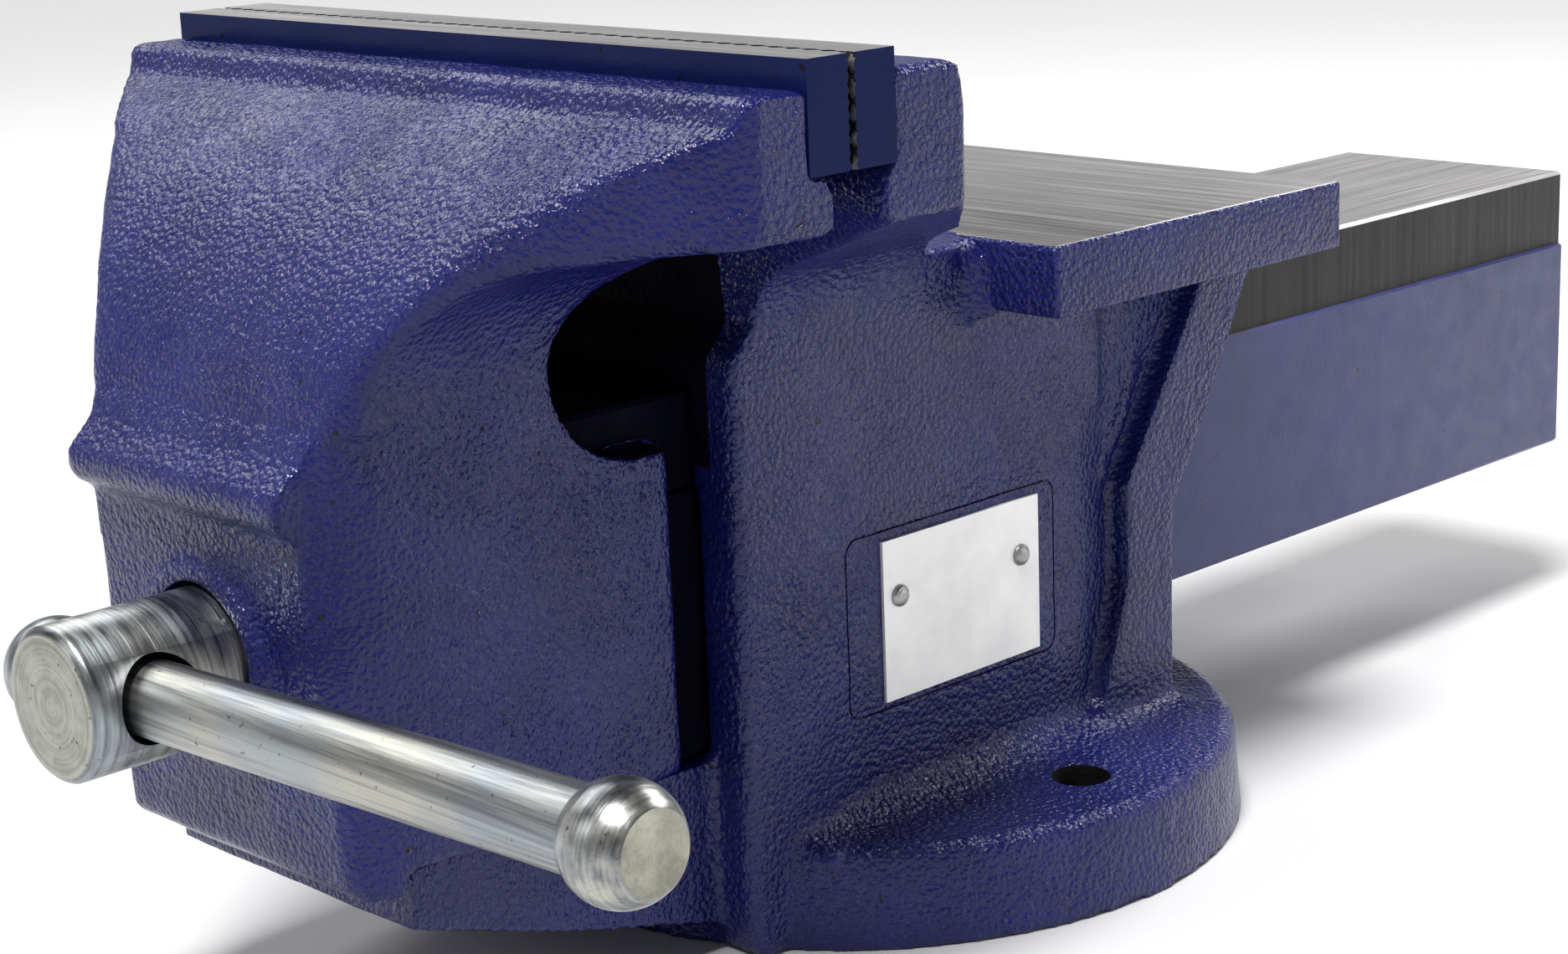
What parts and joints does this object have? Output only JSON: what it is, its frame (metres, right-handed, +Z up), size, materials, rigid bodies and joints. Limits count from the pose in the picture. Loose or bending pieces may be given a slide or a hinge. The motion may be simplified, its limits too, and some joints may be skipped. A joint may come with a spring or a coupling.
{
  "type": "bench vise",
  "caption": "Cast-iron bench vise on a fixed round base, with a box slide, a flat rear anvil, steel jaw plates and a sliding ball-ended screw handle.",
  "frame": {"origin": "centre of the round base's underside, midway between the two bench bolt holes", "axes": "+X along the jaws, towards the nameplate side; +Y from the handle to the rear end of the slide; +Z up"},
  "size_m": [0.2521, 0.472, 0.1977],
  "materials": {
    "blue_enamel": "glossy enamel over sand-cast iron",
    "jaw_steel": "ground top, painted ends",
    "dark_steel": "blackened",
    "zinc_steel": "turned and zinc plated",
    "nut_iron": "bare",
    "plate_silver": "satin, blank",
    "rivet_steel": "satin"
  },
  "bodies": {
    "fixed_body": {"body_casting": "blue_enamel", "fixed_jaw_plate": "jaw_steel", "fixed_plate_screw_left": "dark_steel", "fixed_plate_screw_right": "dark_steel", "screw_nut": "nut_iron", "nut_bolt_front": "dark_steel", "nut_bolt_rear": "dark_steel", "nut_lock_washer_front": "dark_steel", "nut_lock_washer_rear": "dark_steel", "nameplate": "plate_silver", "nameplate_rivet_front": "rivet_steel", "nameplate_rivet_rear": "rivet_steel"},
    "moving_jaw": {"moving_jaw_casting": "blue_enamel", "moving_jaw_plate": "jaw_steel", "moving_plate_screw_left": "dark_steel", "moving_plate_screw_right": "dark_steel", "thrust_washer": "zinc_steel"},
    "screw": {"lead_screw": "zinc_steel", "retaining_pin": "dark_steel", "spring_washer": "zinc_steel", "take_up_spring": "dark_steel"},
    "handle": {"handle_bar": "zinc_steel", "handle_ball_left": "zinc_steel", "handle_ball_right": "zinc_steel"}
  },
  "joints": [
    {"name": "jaw_slide", "type": "slide", "parent": "fixed_body", "child": "moving_jaw", "axis": [0, -1, 0], "range_m": [0, 0.196]},
    {"name": "screw_turn", "type": "hinge", "parent": "moving_jaw", "child": "screw", "pos_m": [0, -0.15, 0.0824], "axis": [0, -1, 0], "range_deg": [0, 11760]},
    {"name": "handle_slide", "type": "slide", "parent": "screw", "child": "handle", "axis": [-0.9993, 0, -0.0375], "range_m": [0, 0.1175]}
  ],
  "couplings": [
    {"joint": "jaw_slide", "follows": "screw_turn", "m_per_rad": 0.00095493}
  ]
}
